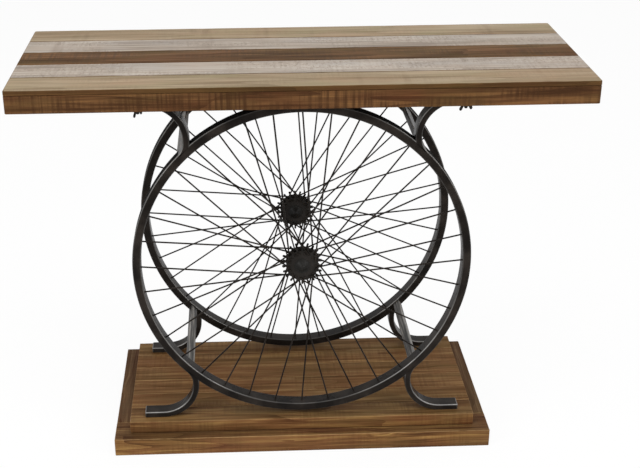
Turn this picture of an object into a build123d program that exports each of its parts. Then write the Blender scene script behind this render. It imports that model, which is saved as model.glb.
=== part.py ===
from build123d import *
import os
from math import atan2, cos, degrees, radians, sin, sqrt

# A rustic console table. Two spoked wheels stand one behind the other on a low timber base.
# Bent flat-bar legs and four crossbars are welded to their rims, and carry a plank top.
# +X runs along the table, +Y from its front to its back, +Z up. The origin is the middle of
# the base's underside. All sizes are in millimetres.

# ---- Wheels
WHEEL_RADIUS = 306.5
WHEEL_SPACING = 247.0
WHEEL_GAP = 9.0
RIM_DEPTH = 13.0
RIM_WIDTH = 25.0

# ---- Hubs
SPROCKET_DIAMETER = 58.0
SPROCKET_THICKNESS = 2.4
SPROCKET_SPACING = 20.0
TOOTH_COUNT = 20
TOOTH_HEIGHT = 8.0
TOOTH_WIDTH = 3.8
TOOTH_TIP_WIDTH = 1.6
BARREL_DIAMETER = 26.0
AXLE_DIAMETER = 10.0
CAP_DIAMETER = 29.0
CAP_HEIGHT = 9.0
CAP_WALL = 3.0
CAP_EDGE = 3.0
HUB_FLATS = 24

# ---- Spokes
SPOKE_COUNT = 36
SPOKE_CROSSINGS = 3
SPOKE_DIAMETER = 2.3
SPOKE_FLATS = 6
SPOKE_HOLE_CIRCLE = 48.4
SPOKE_LIFT = 1.2
SPOKE_SEAT = 0.1

# ---- Legs and crossbars
LEG_X = 201.25
LEG_THICKNESS = 9.5
LEG_BEND_RADIUS = 65.0
FOOT_END_X = 301.0
WELD_RADIUS = 20.0
CROSSBAR_THICKNESS = 9.0
CROSSBAR_WIDTH = 15.0
CROSSBAR_ANGLE = 45.0

# ---- Base
BASE_LENGTH = 718.0
BASE_DEPTH = 346.0
BASE_RAIL_HEIGHT = 36.0
BASE_RAIL_WIDTH = 60.0
BASE_BATTEN_WIDTH = 60.0
PLATFORM_LENGTH = 660.0
PLATFORM_DEPTH = 304.0
PLATFORM_THICKNESS = 25.0
PLATFORM_PLANKS = 6
PLANK_EDGE = 0.8

# ---- Top
TOP_LENGTH = 990.0
TOP_DEPTH = 378.0
TOP_PLANKS = 5
TOP_PLANK_THICKNESS = 9.0
TOP_CORNER_RADIUS = 4.0
APRON_HEIGHT = 31.0
APRON_THICKNESS = 18.0
CLEAT_WIDTH = 66.0

# ---- Fasteners
FIXING_X = 282.0
BOLT_DIAMETER = 6.0
BOLT_HEAD_DIAMETER = 12.0
BOLT_HEAD_HEIGHT = 4.0
BOLT_HEAD_RECESS = 6.0
BOLT_GRIP = 7.0
STUD_DIAMETER = 6.0
STUD_IN_CLEAT = 22.0
STUD_TAIL = 3.0
WASHER_DIAMETER = 14.0
WASHER_THICKNESS = 1.6
NUT_DIAMETER = 12.0
NUT_HEIGHT = 9.0
WING_SPAN = 26.0
WING_DROP = 10.0
WING_WIDTH = 6.0
WING_THICKNESS = 2.6
CLEARANCE = 0.3
ROD_FLATS = 12

# ---- Names of the two sides of everything, with the sign that each has
SIDES = {"left": -1, "right": 1}
LEVELS = {"lower": -1, "upper": 1}
FACES = {"front": -1, "rear": 1}

# ---- Places worked out from the sizes above
BASE_TOP_Z = BASE_RAIL_HEIGHT + PLATFORM_THICKNESS
WHEEL_Z = BASE_TOP_Z + WHEEL_GAP + WHEEL_RADIUS
UNDERSIDE_Z = WHEEL_Z + WHEEL_RADIUS + WHEEL_GAP
TOP_PLANK_Z = UNDERSIDE_Z + APRON_HEIGHT
WHEEL_Y = {"front": -WHEEL_SPACING / 2, "rear": WHEEL_SPACING / 2}
RIM_INSIDE_RADIUS = WHEEL_RADIUS - RIM_DEPTH
FOOT_RADIUS = WHEEL_RADIUS + WHEEL_GAP

os.makedirs("parts", exist_ok=True)


def keep(part, name):
    """Labels a finished piece and writes it as its own STEP file."""
    part.label = name
    export_step(part, f"parts/{name}.step")


def across(y, toward):
    """A plane square to the axles at y, its origin on the axle. It faces the front if toward is -1."""
    return Plane(origin=(0, y, WHEEL_Z), x_dir=(1, 0, 0), z_dir=(0, toward, 0))


def rod(diameter, mode=Mode.ADD):
    """Draws the section of a thin rod or of its hole, with flats to keep the model light."""
    RegularPolygon(diameter / 2, ROD_FLATS, mode=mode)


def upright(places, low_z, high_z, diameter, mode=Mode.ADD):
    """Adds thin upright rods to the part being made, or cuts their holes."""
    with BuildSketch(Plane.XY.offset(low_z)) as sections:
        with Locations(*places):
            rod(diameter)
    extrude(sections.sketch, amount=high_z - low_z, mode=mode)


# ---------------------------------------------------------------- rims
# Each rim is flat steel bar rolled into a ring and welded.
for wheel, y in WHEEL_Y.items():
    with BuildPart() as rim:
        with BuildSketch(across(y, FACES["front"])):
            Circle(WHEEL_RADIUS)
            Circle(RIM_INSIDE_RADIUS, mode=Mode.SUBTRACT)
        extrude(amount=RIM_WIDTH / 2, both=True)
    keep(rim.part, f"{wheel}_rim")


# ---------------------------------------------------------------- legs
# A leg is a flat bar as wide as the rim. From the rim it runs straight towards the base or the
# top, bends through a right angle and ends in a flat foot. A weld blends its outer face into
# the rim. The outline is drawn about the wheel's centre, u outwards and v towards the foot.
LEG_INSIDE = LEG_X - LEG_THICKNESS / 2
LEG_OUTSIDE = LEG_X + LEG_THICKNESS / 2
BEND_U = LEG_X + LEG_BEND_RADIUS
BEND_V = FOOT_RADIUS - LEG_THICKNESS / 2 - LEG_BEND_RADIUS
RIM_CORNER_V = sqrt(WHEEL_RADIUS**2 - LEG_INSIDE**2)
WELD_U = LEG_OUTSIDE + WELD_RADIUS
WELD_V = sqrt((WHEEL_RADIUS + WELD_RADIUS) ** 2 - WELD_U**2)
WELD_TURN = degrees(atan2(WELD_V, WELD_U))

with BuildSketch() as leg_outline:
    with BuildLine():
        weld = CenterArc((WELD_U, WELD_V), WELD_RADIUS, 180, WELD_TURN)
        RadiusArc(weld @ 1, (LEG_INSIDE, RIM_CORNER_V), -WHEEL_RADIUS)
        Line((LEG_INSIDE, RIM_CORNER_V), (LEG_INSIDE, BEND_V))
        CenterArc((BEND_U, BEND_V), LEG_BEND_RADIUS + LEG_THICKNESS / 2, 180, -90)
        Polyline(
            (BEND_U, FOOT_RADIUS),
            (FOOT_END_X, FOOT_RADIUS),
            (FOOT_END_X, FOOT_RADIUS - LEG_THICKNESS),
            (BEND_U, FOOT_RADIUS - LEG_THICKNESS),
        )
        CenterArc((BEND_U, BEND_V), LEG_BEND_RADIUS - LEG_THICKNESS / 2, 90, 90)
        Line((LEG_OUTSIDE, BEND_V), weld @ 0)
    make_face()

# A lower foot has a blind tapped hole for a bolt, and an upper foot is drilled through.
FOOT_HOLES = {
    "lower": (BOLT_DIAMETER, BOLT_GRIP),
    "upper": (STUD_DIAMETER + CLEARANCE, LEG_THICKNESS),
}

for wheel, y in WHEEL_Y.items():
    for level, up in LEVELS.items():
        for side, right in SIDES.items():
            side_view = Plane(origin=(0, y, WHEEL_Z), x_dir=(right, 0, 0), z_dir=(0, -right * up, 0))
            sole = Plane(origin=(right * FIXING_X, y, WHEEL_Z + up * FOOT_RADIUS), z_dir=(0, 0, -up))
            hole_diameter, hole_depth = FOOT_HOLES[level]
            with BuildPart() as leg:
                with BuildSketch(side_view):
                    add(leg_outline.sketch)
                extrude(amount=RIM_WIDTH / 2, both=True)
                with BuildSketch(sole):
                    rod(hole_diameter)
                extrude(amount=hole_depth, mode=Mode.SUBTRACT)
            keep(leg.part, f"{level}_{wheel}_{side}_leg")


# ---------------------------------------------------------------- crossbars
# Four flat bars run from rim to rim and are butt-welded to the rims' inner faces.
CROSSBAR_LENGTH = WHEEL_SPACING - RIM_WIDTH

for level, up in LEVELS.items():
    for side, right in SIDES.items():
        angle = up * (CROSSBAR_ANGLE if side == "right" else 180 - CROSSBAR_ANGLE)
        with BuildPart() as crossbar:
            with BuildSketch(across(CROSSBAR_LENGTH / 2, FACES["front"])):
                with PolarLocations(WHEEL_RADIUS - RIM_DEPTH / 2, 1, start_angle=angle):
                    Rectangle(CROSSBAR_THICKNESS, CROSSBAR_WIDTH)
            extrude(amount=CROSSBAR_LENGTH)
        keep(crossbar.part, f"{level}_{side}_crossbar")


# ---------------------------------------------------------------- hubs
# Each hub is a turned barrel between two toothed discs. A stub axle runs through all three,
# and a smooth round cap is pressed over each end of it. The small turned pieces are drawn with
# flats to keep the model light.
SPOKES_PER_DISC = SPOKE_COUNT // 2
HOLE_PITCH = 360 / SPOKES_PER_DISC
FIRST_HOLE = {"front": 0, "rear": HOLE_PITCH / 2}
BARREL_LENGTH = SPROCKET_SPACING - SPROCKET_THICKNESS
STACK_LENGTH = SPROCKET_SPACING + SPROCKET_THICKNESS
TOOTH_ROOT = SPROCKET_DIAMETER / 2
TOOTH_TIP = TOOTH_ROOT + TOOTH_HEIGHT

with BuildSketch() as tooth:
    with BuildLine():
        Polyline(
            (TOOTH_ROOT - TOOTH_WIDTH, TOOTH_WIDTH / 2),
            (TOOTH_TIP - TOOTH_WIDTH / 2, TOOTH_WIDTH / 2),
            (TOOTH_TIP, TOOTH_TIP_WIDTH / 2),
            (TOOTH_TIP, -TOOTH_TIP_WIDTH / 2),
            (TOOTH_TIP - TOOTH_WIDTH / 2, -TOOTH_WIDTH / 2),
            (TOOTH_ROOT - TOOTH_WIDTH, -TOOTH_WIDTH / 2),
            close=True,
        )
    make_face()

for wheel, y in WHEEL_Y.items():
    for face, toward in FACES.items():
        with BuildPart() as sprocket:
            with BuildSketch(across(y + toward * SPROCKET_SPACING / 2, FACES["front"])):
                RegularPolygon(TOOTH_ROOT, TOOTH_COUNT)
                with PolarLocations(0, TOOTH_COUNT):
                    add(tooth.sketch)
                rod(AXLE_DIAMETER, Mode.SUBTRACT)
                with PolarLocations(SPOKE_HOLE_CIRCLE / 2, SPOKES_PER_DISC, start_angle=FIRST_HOLE[face]):
                    RegularPolygon((SPOKE_DIAMETER + CLEARANCE) / 2, SPOKE_FLATS, mode=Mode.SUBTRACT)
            extrude(amount=SPROCKET_THICKNESS / 2, both=True)
        keep(sprocket.part, f"{wheel}_wheel_{face}_sprocket")

    with BuildPart() as barrel:
        with BuildSketch(across(y, FACES["front"])):
            RegularPolygon(BARREL_DIAMETER / 2, HUB_FLATS)
            rod(AXLE_DIAMETER, Mode.SUBTRACT)
        extrude(amount=BARREL_LENGTH / 2, both=True)
    keep(barrel.part, f"{wheel}_hub_barrel")

    with BuildPart() as axle:
        with BuildSketch(across(y, FACES["front"])):
            rod(AXLE_DIAMETER)
        extrude(amount=STACK_LENGTH / 2 + CAP_HEIGHT - CAP_WALL, both=True)
    keep(axle.part, f"{wheel}_hub_axle")

with BuildPart() as caps:
    for y in WHEEL_Y.values():
        for toward in FACES.values():
            outside = across(y + toward * STACK_LENGTH / 2, toward)
            with BuildSketch(outside):
                RegularPolygon(CAP_DIAMETER / 2, HUB_FLATS)
            extrude(amount=CAP_HEIGHT)
            crown = caps.faces(Select.LAST).filter_by(Axis.Y).sort_by(Axis.Y)
            chamfer(crown[-1 if toward > 0 else 0].edges(), CAP_EDGE)
            with BuildSketch(outside):
                rod(AXLE_DIAMETER)
            extrude(amount=CAP_HEIGHT - CAP_WALL, mode=Mode.SUBTRACT)
keep(caps.part, "hub_caps")


# ---------------------------------------------------------------- spokes
# The wheels are laced three-cross. Every spoke is a wire with an elbow, whose short end passes
# through a hole in its disc and whose long end butts on the inside of the rim. Leading spokes
# run outside the disc and trailing spokes inside it, so that they pass where they cross.
SPOKES_PER_GROUP = SPOKE_COUNT // 4
GROUP_PITCH = 360 / SPOKES_PER_GROUP
RUNS = {"leading": 1, "trailing": -1}


def spoke(front, outside):
    """Makes the spoke whose rim end is at angle zero, seen from the front with the axle along Z.

    front is 1 on the front disc and -1 on the rear, outside is 1 for a wire outside its disc.
    """
    hole_angle = radians(-outside * SPOKE_CROSSINGS * HOLE_PITCH)
    hole_direction = Vector(cos(hole_angle), sin(hole_angle), 0)
    disc_middle = hole_direction * SPOKE_HOLE_CIRCLE / 2 + Vector(0, 0, front * SPROCKET_SPACING / 2)
    outward = Vector(0, 0, front * outside)
    short_end = disc_middle - outward * SPROCKET_THICKNESS / 2
    elbow = disc_middle + outward * (SPROCKET_THICKNESS / 2 + SPOKE_LIFT + SPOKE_DIAMETER / 2)
    rim_end = (RIM_INSIDE_RADIUS - SPOKE_SEAT, 0, 0)
    with BuildPart() as wire:
        with BuildLine():
            Polyline(short_end, elbow, rim_end)
        with BuildSketch(Plane(origin=short_end, x_dir=hole_direction, z_dir=outward)):
            RegularPolygon(SPOKE_DIAMETER / 2, SPOKE_FLATS)
        sweep(transition=Transition.RIGHT)
    return wire.part


for face, toward in FACES.items():
    for run, outside in RUNS.items():
        pattern = spoke(-toward, outside)
        first_angle = FIRST_HOLE[face] + (0 if run == "leading" else HOLE_PITCH)
        for wheel, y in WHEEL_Y.items():
            with BuildPart() as spokes:
                for index in range(SPOKES_PER_GROUP):
                    turned = Rotation(0, 0, first_angle + index * GROUP_PITCH)
                    add(across(y, FACES["front"]).location * turned * pattern)
            keep(spokes.part, f"{wheel}_wheel_{face}_{run}_spokes")


# ---------------------------------------------------------------- base
# The base is a frame of four rails and a middle batten. The front rail covers the ends of the
# side rails, which run on past the ends of the rear rail. Six planks are laid along it as a
# platform, set in from the rails' outer edges by a step all round. Holes for the foot bolts
# go up through all of it, with a recess for the bolts' heads.
RAIL_Y = (BASE_DEPTH - BASE_RAIL_WIDTH) / 2
RAIL_LENGTH = {"front": BASE_LENGTH, "rear": BASE_LENGTH - 2 * BASE_RAIL_WIDTH}
SIDE_RAIL_X = (BASE_LENGTH - BASE_RAIL_WIDTH) / 2
SIDE_RAIL_LENGTH = BASE_DEPTH - BASE_RAIL_WIDTH
BATTEN_LENGTH = BASE_DEPTH - 2 * BASE_RAIL_WIDTH
PLATFORM_PLANK_WIDTH = PLATFORM_DEPTH / PLATFORM_PLANKS
ON_PLACE = (Align.CENTER, Align.CENTER, Align.MIN)


def board(x, y, z, length, depth, thickness):
    """Adds a flat board whose underside is centred on x, y at height z."""
    with Locations((x, y, z)):
        Box(length, depth, thickness, align=ON_PLACE)


def ease_top(part):
    """Takes the sharp edge off the top face."""
    chamfer(part.faces().sort_by(Axis.Z)[-1].edges(), PLANK_EDGE)


FIXINGS = [(right * FIXING_X, y) for right in SIDES.values() for y in WHEEL_Y.values()]
HEAD_TOP_Z = BOLT_HEAD_RECESS + BOLT_HEAD_HEIGHT


def drill_for_bolts():
    """Cuts whatever part of the bolt holes the board being made holds."""
    upright(FIXINGS, 0, BASE_TOP_Z, BOLT_DIAMETER + CLEARANCE, Mode.SUBTRACT)
    upright(FIXINGS, 0, HEAD_TOP_Z, BOLT_HEAD_DIAMETER + CLEARANCE, Mode.SUBTRACT)


for face, toward in FACES.items():
    with BuildPart() as rail:
        board(0, toward * RAIL_Y, 0, RAIL_LENGTH[face], BASE_RAIL_WIDTH, BASE_RAIL_HEIGHT)
        ease_top(rail)
        drill_for_bolts()
    keep(rail.part, f"base_{face}_rail")

for side, right in SIDES.items():
    with BuildPart() as rail:
        board(
            right * SIDE_RAIL_X, BASE_RAIL_WIDTH / 2, 0, BASE_RAIL_WIDTH, SIDE_RAIL_LENGTH, BASE_RAIL_HEIGHT
        )
        ease_top(rail)
    keep(rail.part, f"base_{side}_rail")

with BuildPart() as batten:
    board(0, 0, 0, BASE_BATTEN_WIDTH, BATTEN_LENGTH, BASE_RAIL_HEIGHT)
keep(batten.part, "base_batten")

for index in range(PLATFORM_PLANKS):
    plank_y = (index + 0.5) * PLATFORM_PLANK_WIDTH - PLATFORM_DEPTH / 2
    with BuildPart() as plank:
        board(0, plank_y, BASE_RAIL_HEIGHT, PLATFORM_LENGTH, PLATFORM_PLANK_WIDTH, PLATFORM_THICKNESS)
        ease_top(plank)
        drill_for_bolts()
    keep(plank.part, f"platform_plank_{index + 1}")


# ---------------------------------------------------------------- top
# The top is five planks laid along the table on a frame of four apron boards. Three cleats
# run across inside the frame under the planks, and the legs are fixed to the outer two.
APRON_Y = (TOP_DEPTH - APRON_THICKNESS) / 2
APRON_X = (TOP_LENGTH - APRON_THICKNESS) / 2
BETWEEN_APRONS = TOP_DEPTH - 2 * APRON_THICKNESS
TOP_PLANK_WIDTH = TOP_DEPTH / TOP_PLANKS
CLEAT_X = {"left": -FIXING_X, "middle": 0, "right": FIXING_X}


def round_corners(z, thickness):
    """Rounds whatever part of the top's four upright corners the board being made holds."""
    with BuildSketch(Plane.XY.offset(z)) as outline:
        RectangleRounded(TOP_LENGTH, TOP_DEPTH, TOP_CORNER_RADIUS)
    extrude(outline.sketch, amount=thickness, mode=Mode.INTERSECT)


for index in range(TOP_PLANKS):
    plank_y = (index + 0.5) * TOP_PLANK_WIDTH - TOP_DEPTH / 2
    with BuildPart() as plank:
        board(0, plank_y, TOP_PLANK_Z, TOP_LENGTH, TOP_PLANK_WIDTH, TOP_PLANK_THICKNESS)
        if index in (0, TOP_PLANKS - 1):
            round_corners(TOP_PLANK_Z, TOP_PLANK_THICKNESS)
        ease_top(plank)
    keep(plank.part, f"top_plank_{index + 1}")

for face, toward in FACES.items():
    with BuildPart() as apron:
        board(0, toward * APRON_Y, UNDERSIDE_Z, TOP_LENGTH, APRON_THICKNESS, APRON_HEIGHT)
        round_corners(UNDERSIDE_Z, APRON_HEIGHT)
    keep(apron.part, f"{face}_apron")

for side, right in SIDES.items():
    with BuildPart() as apron:
        board(right * APRON_X, 0, UNDERSIDE_Z, APRON_THICKNESS, BETWEEN_APRONS, APRON_HEIGHT)
    keep(apron.part, f"{side}_apron")

for name, x in CLEAT_X.items():
    with BuildPart() as cleat:
        board(x, 0, UNDERSIDE_Z, CLEAT_WIDTH, BETWEEN_APRONS, APRON_HEIGHT)
        upright(FIXINGS, UNDERSIDE_Z, UNDERSIDE_Z + STUD_IN_CLEAT, STUD_DIAMETER, Mode.SUBTRACT)
    keep(cleat.part, f"{name}_cleat")


# ---------------------------------------------------------------- fasteners
# The lower feet are held by bolts from under the base, with their heads sunk in the front
# and rear rails. The upper feet hang on studs in the cleats, each with a washer and a wing nut.
FOOT_UNDERSIDE_Z = UNDERSIDE_Z - LEG_THICKNESS
NUT_TOP_Z = FOOT_UNDERSIDE_Z - WASHER_THICKNESS
STUD_END_Z = NUT_TOP_Z - NUT_HEIGHT - STUD_TAIL
NUT_TURNS = {("left", "front"): 60, ("right", "front"): 20, ("left", "rear"): 110, ("right", "rear"): 75}

with BuildPart() as bolts:
    upright(FIXINGS, BOLT_HEAD_RECESS, HEAD_TOP_Z, BOLT_HEAD_DIAMETER)
    upright(FIXINGS, HEAD_TOP_Z, BASE_TOP_Z + BOLT_GRIP, BOLT_DIAMETER)
keep(bolts.part, "foot_bolts")

with BuildPart() as studs:
    upright(FIXINGS, STUD_END_Z, UNDERSIDE_Z + STUD_IN_CLEAT, STUD_DIAMETER)
keep(studs.part, "top_studs")

with BuildPart() as washers:
    upright(FIXINGS, NUT_TOP_Z, FOOT_UNDERSIDE_Z, WASHER_DIAMETER)
    upright(FIXINGS, NUT_TOP_Z, FOOT_UNDERSIDE_Z, STUD_DIAMETER + CLEARANCE, Mode.SUBTRACT)
keep(washers.part, "top_washers")

# A wing is drawn as a blade that leaves the side of the nut and hangs down past it.
NUT_END_Z = NUT_TOP_Z - NUT_HEIGHT
WING_ROOT = NUT_DIAMETER / 4
WING_TIP = (WING_SPAN - WING_WIDTH) / 2
WING_LOW = -NUT_HEIGHT - WING_DROP

with BuildSketch() as wings:
    with BuildLine():
        Polyline(
            (WING_ROOT, 0),
            (WING_TIP + WING_WIDTH / 2, WING_LOW + WING_WIDTH),
            (WING_TIP + WING_WIDTH / 4, WING_LOW),
            (WING_TIP - WING_WIDTH / 4, WING_LOW),
            (WING_ROOT, -NUT_HEIGHT),
            close=True,
        )
    make_face()
    mirror(about=Plane.YZ)

with BuildPart() as wing_nuts:
    for (side, wheel), turn in NUT_TURNS.items():
        place = (SIDES[side] * FIXING_X, WHEEL_Y[wheel])
        upright([place], NUT_END_Z, NUT_TOP_Z, NUT_DIAMETER)
        heading = Vector(1, 0, 0).rotate(Axis.Z, turn)
        facing = heading.cross(Vector(0, 0, 1))
        with BuildSketch(Plane(origin=(*place, NUT_TOP_Z), x_dir=heading, z_dir=facing)):
            add(wings.sketch)
        extrude(amount=WING_THICKNESS / 2, both=True)
    upright(FIXINGS, STUD_END_Z, NUT_TOP_Z, STUD_DIAMETER, Mode.SUBTRACT)
keep(wing_nuts.part, "wing_nuts")
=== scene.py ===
import math

import bmesh
import bpy
from mathutils import Matrix, Vector, noise


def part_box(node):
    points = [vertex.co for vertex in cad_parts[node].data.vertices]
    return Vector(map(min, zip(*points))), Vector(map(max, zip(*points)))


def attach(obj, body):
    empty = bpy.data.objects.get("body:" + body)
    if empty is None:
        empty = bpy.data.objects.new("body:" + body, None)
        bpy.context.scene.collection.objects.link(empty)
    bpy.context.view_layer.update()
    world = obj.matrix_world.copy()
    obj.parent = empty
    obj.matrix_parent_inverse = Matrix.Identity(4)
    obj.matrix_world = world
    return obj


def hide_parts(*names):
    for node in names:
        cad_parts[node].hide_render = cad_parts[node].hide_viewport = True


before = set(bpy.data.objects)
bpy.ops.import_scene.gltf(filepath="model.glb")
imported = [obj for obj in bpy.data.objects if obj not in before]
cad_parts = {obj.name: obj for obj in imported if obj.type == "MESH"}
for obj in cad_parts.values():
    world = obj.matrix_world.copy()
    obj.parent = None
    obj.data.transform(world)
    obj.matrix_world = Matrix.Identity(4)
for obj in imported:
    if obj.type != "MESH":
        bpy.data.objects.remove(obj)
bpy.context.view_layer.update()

# A rustic console table: a plank top on two spoked wheels, which stand on a low timber base.
# Metres, +X along the table, +Y from its front to its back, +Z up, as the frame has it.


# ---- Studio
# A plain white sweep, two large soft lamps in front, one to each side, another overhead and a
# weak one behind, and a camera that looks down on the table from just left of its middle.
def linear(code):
    """An sRGB hex colour as the linear colour that a socket takes."""
    parts = [int(code[i:i + 2], 16) / 255 for i in (1, 3, 5)]
    return [c / 12.92 if c <= 0.04045 else ((c + 0.055) / 1.055) ** 2.4 for c in parts] + [1.0]


def add_node(tree, kind, inputs=None, stops=None, output=0, **settings):
    """Adds a node and returns one of its outputs.

    An input is a number, a colour, or the output that it is linked from. stops are the places and
    the colours of a ramp.
    """
    made = tree.nodes.new(kind)
    for key, value in settings.items():
        setattr(made, key, value)
    for key, value in (inputs or {}).items():
        if isinstance(value, bpy.types.NodeSocket):
            tree.links.new(value, made.inputs[key])
        else:
            made.inputs[key].default_value = value
    if stops:
        ramp = made.color_ramp.elements
        while len(ramp) < len(stops):
            ramp.new(1.0)
        for element, (place, code) in zip(ramp, stops):
            element.position = place
            element.color = linear(code)
    return made.outputs[output]


def new_material(name):
    """An empty material, the node tree to build it in, and its shader."""
    material = bpy.data.materials.new(name)
    material.use_nodes = True
    tree = material.node_tree
    return material, tree, tree.nodes["Principled BSDF"]


IMAGE_WIDTH = 640
FOCAL_LENGTH_PX = 1192.5
SENSOR = 36.0
CAMERA_SHIFT = (0.0647, 0.0422)
CAMERA_PLACE = (-0.1139, -2.0753, 1.3251)
CAMERA_PAN, CAMERA_TILT, CAMERA_ROLL = -0.0364, -0.4498, 0.0068
camera_data = bpy.data.cameras.new("camera")
camera_data.sensor_fit = "HORIZONTAL"
camera_data.sensor_width = SENSOR
camera_data.lens = FOCAL_LENGTH_PX / IMAGE_WIDTH * SENSOR
camera_data.shift_x, camera_data.shift_y = CAMERA_SHIFT
camera = bpy.data.objects.new("camera", camera_data)
camera_turn = (
    Matrix.Rotation(CAMERA_PAN, 4, "Z")
    @ Matrix.Rotation(CAMERA_TILT, 4, "X")
    @ Matrix.Rotation(CAMERA_ROLL, 4, "Y")
)
looks_along_y = Matrix.Rotation(math.radians(90), 4, "X")
camera.matrix_world = Matrix.Translation(CAMERA_PLACE) @ camera_turn @ looks_along_y
bpy.context.scene.collection.objects.link(camera)
bpy.context.scene.camera = camera
bpy.context.scene.view_settings.view_transform = "Standard"

LAMPS = {
    "left": {"at": (-2.4, -1.9, 1.6), "size": (0.9, 1.4), "power": 37},
    "right": {"at": (2.5, -1.9, 1.6), "size": (0.9, 1.4), "power": 36},
    "overhead": {"at": (-0.2, -0.9, 2.9), "size": (2.4, 1.0), "power": 30},
    "back": {"at": (0.3, 1.8, 2.3), "size": (2.0, 1.0), "power": 10},
}
AIM = Vector((0, 0, 0.35))
for name, lamp in LAMPS.items():
    data = bpy.data.lights.new(name, "AREA")
    data.shape = "RECTANGLE"
    data.size, data.size_y = lamp["size"]
    data.energy = lamp["power"]
    light = bpy.data.objects.new(name, data)
    place = Vector(lamp["at"])
    turn = (AIM - place).to_track_quat("-Z", "Y").to_matrix().to_4x4()
    light.matrix_world = Matrix.Translation(place) @ turn
    bpy.context.scene.collection.objects.link(light)

ROOM_SHADE = "#F2F2F2"
ROOM_STRENGTH = 0.6
world = bpy.data.worlds.new("room")
world.use_nodes = True
bpy.context.scene.world = world
room = world.node_tree
background = room.nodes["Background"]
background.inputs["Color"].default_value = linear(ROOM_SHADE)
background.inputs["Strength"].default_value = ROOM_STRENGTH


def whiten(tree, shown, kind, output, share):
    """Mixes white into what the camera and the reflections see, and leaves the light alone."""
    rays = add_node(tree, "ShaderNodeLightPath").node.outputs
    seen = rays["Is Camera Ray"]
    for name in ("Is Glossy Ray", "Is Transmission Ray"):
        seen = add_node(tree, "ShaderNodeMath", {0: seen, 1: rays[name]}, operation="MAXIMUM")
    factor = add_node(tree, "ShaderNodeMath", {0: seen, 1: share}, operation="MULTIPLY")
    white = add_node(tree, kind, {"Color": linear("#FFFFFF"), "Strength": 1.0})
    mixed = add_node(tree, "ShaderNodeMixShader", {0: factor, 1: shown.outputs[0], 2: white})
    tree.links.new(mixed, tree.nodes[output].inputs["Surface"])


whiten(room, background, "ShaderNodeBackground", "World Output", 1.0)

# The sweep is matt paper. It stays just short of pure white to the eye, so that a shadow shows.
FLOOR_SHADE = "#F4F4F3"
FLOOR_WHITE = 0.93
FLOOR_SIZE = 12
FLOOR_DROP = 0.0005
floor_material, floor_tree, floor_shader = new_material("white_paper_sweep")
floor_shader.inputs["Base Color"].default_value = linear(FLOOR_SHADE)
floor_shader.inputs["Roughness"].default_value = 0.9
whiten(floor_tree, floor_shader, "ShaderNodeEmission", "Material Output", FLOOR_WHITE)
floor_mesh = bpy.data.meshes.new("floor")
floor_shape = bmesh.new()
bmesh.ops.create_grid(floor_shape, x_segments=1, y_segments=1, size=FLOOR_SIZE)
bmesh.ops.translate(floor_shape, verts=floor_shape.verts[:], vec=(0, 0, -FLOOR_DROP))
floor_shape.to_mesh(floor_mesh)
floor_shape.free()
floor = bpy.data.objects.new("floor", floor_mesh)
floor.data.materials.append(floor_material)
bpy.context.scene.collection.objects.link(floor)


# ---- Base frame
# Four rails of pine, sawn, brown-stained and oiled. The front rail covers the ends of the side
# rails, which run on past the ends of the rear rail.
SHARP_TURN = math.radians(25)
WEAR_LEAST, WEAR_START = 0.08, 0.05
# The edge mark grows on edges that face up and to the front: real scuffing, and painted highlight
# where the lamps above and in front catch the edges.
WEAR_AND_HIGHLIGHT_UPWARD, WEAR_AND_HIGHLIGHT_FORWARD = 0.4, 1.1
SIDEWAYS_FROM, SIDEWAYS_SPAN = 0.27, 0.2
NORMAL_WEIGHT = 80


def keep(name, shape, material, node, face_on=1.0):
    """Makes the finished piece that stands for a CAD node, and rides on the table.

    The "edge" attribute marks where the surface turns sharply, where cloths and hands scuff the
    finish. It is partly painted highlight too: it is strongest on the edges that face up and to
    the front, where the lamps' light catches them. face_on is how much of it is left on the edges
    that face neither side.
    """
    worn_and_lit = shape.verts.layers.float.new("edge")
    shape.normal_update()
    for v in shape.verts:
        turns = [e.calc_face_angle() for e in v.link_edges if len(e.link_faces) == 2]
        if not turns or max(turns) <= SHARP_TURN:
            v[worn_and_lit] = 0.0
            continue
        to_side = min(max((abs(v.normal.x) - SIDEWAYS_FROM) / SIDEWAYS_SPAN, 0.0), 1.0)
        share = face_on + (1 - face_on) * to_side
        reach = v.normal.z * (WEAR_AND_HIGHLIGHT_UPWARD - WEAR_AND_HIGHLIGHT_FORWARD * v.normal.y) * share
        v[worn_and_lit] = min(max(WEAR_START + reach, WEAR_LEAST), 1.0)
    mesh = bpy.data.meshes.new(name)
    shape.to_mesh(mesh)
    shape.free()
    mesh.materials.append(material)
    mesh.shade_smooth()
    made = bpy.data.objects.new(name, mesh)
    bpy.context.scene.collection.objects.link(made)
    weighted = made.modifiers.new("weighted_normals", "WEIGHTED_NORMAL")
    weighted.weight = NORMAL_WEIGHT
    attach(made, "root")
    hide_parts(node)


# A Mix node of colours takes its share at 0 and its colours at 6 and 7, and gives them at 2.
COLOUR_MIX = {"data_type": "RGBA", "output": 2}
GRAIN_WANDER = 0.014
KNOT_PUSH = 0.012
SHADE_PLACES = (-0.07, -0.02, 0.02, 0.075)
COAT_WANDER, COAT_FADE = 0.001, 0.0004
WOOD_GLOSS = 0.1
WOOD_RELIEF = 0.0008


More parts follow.
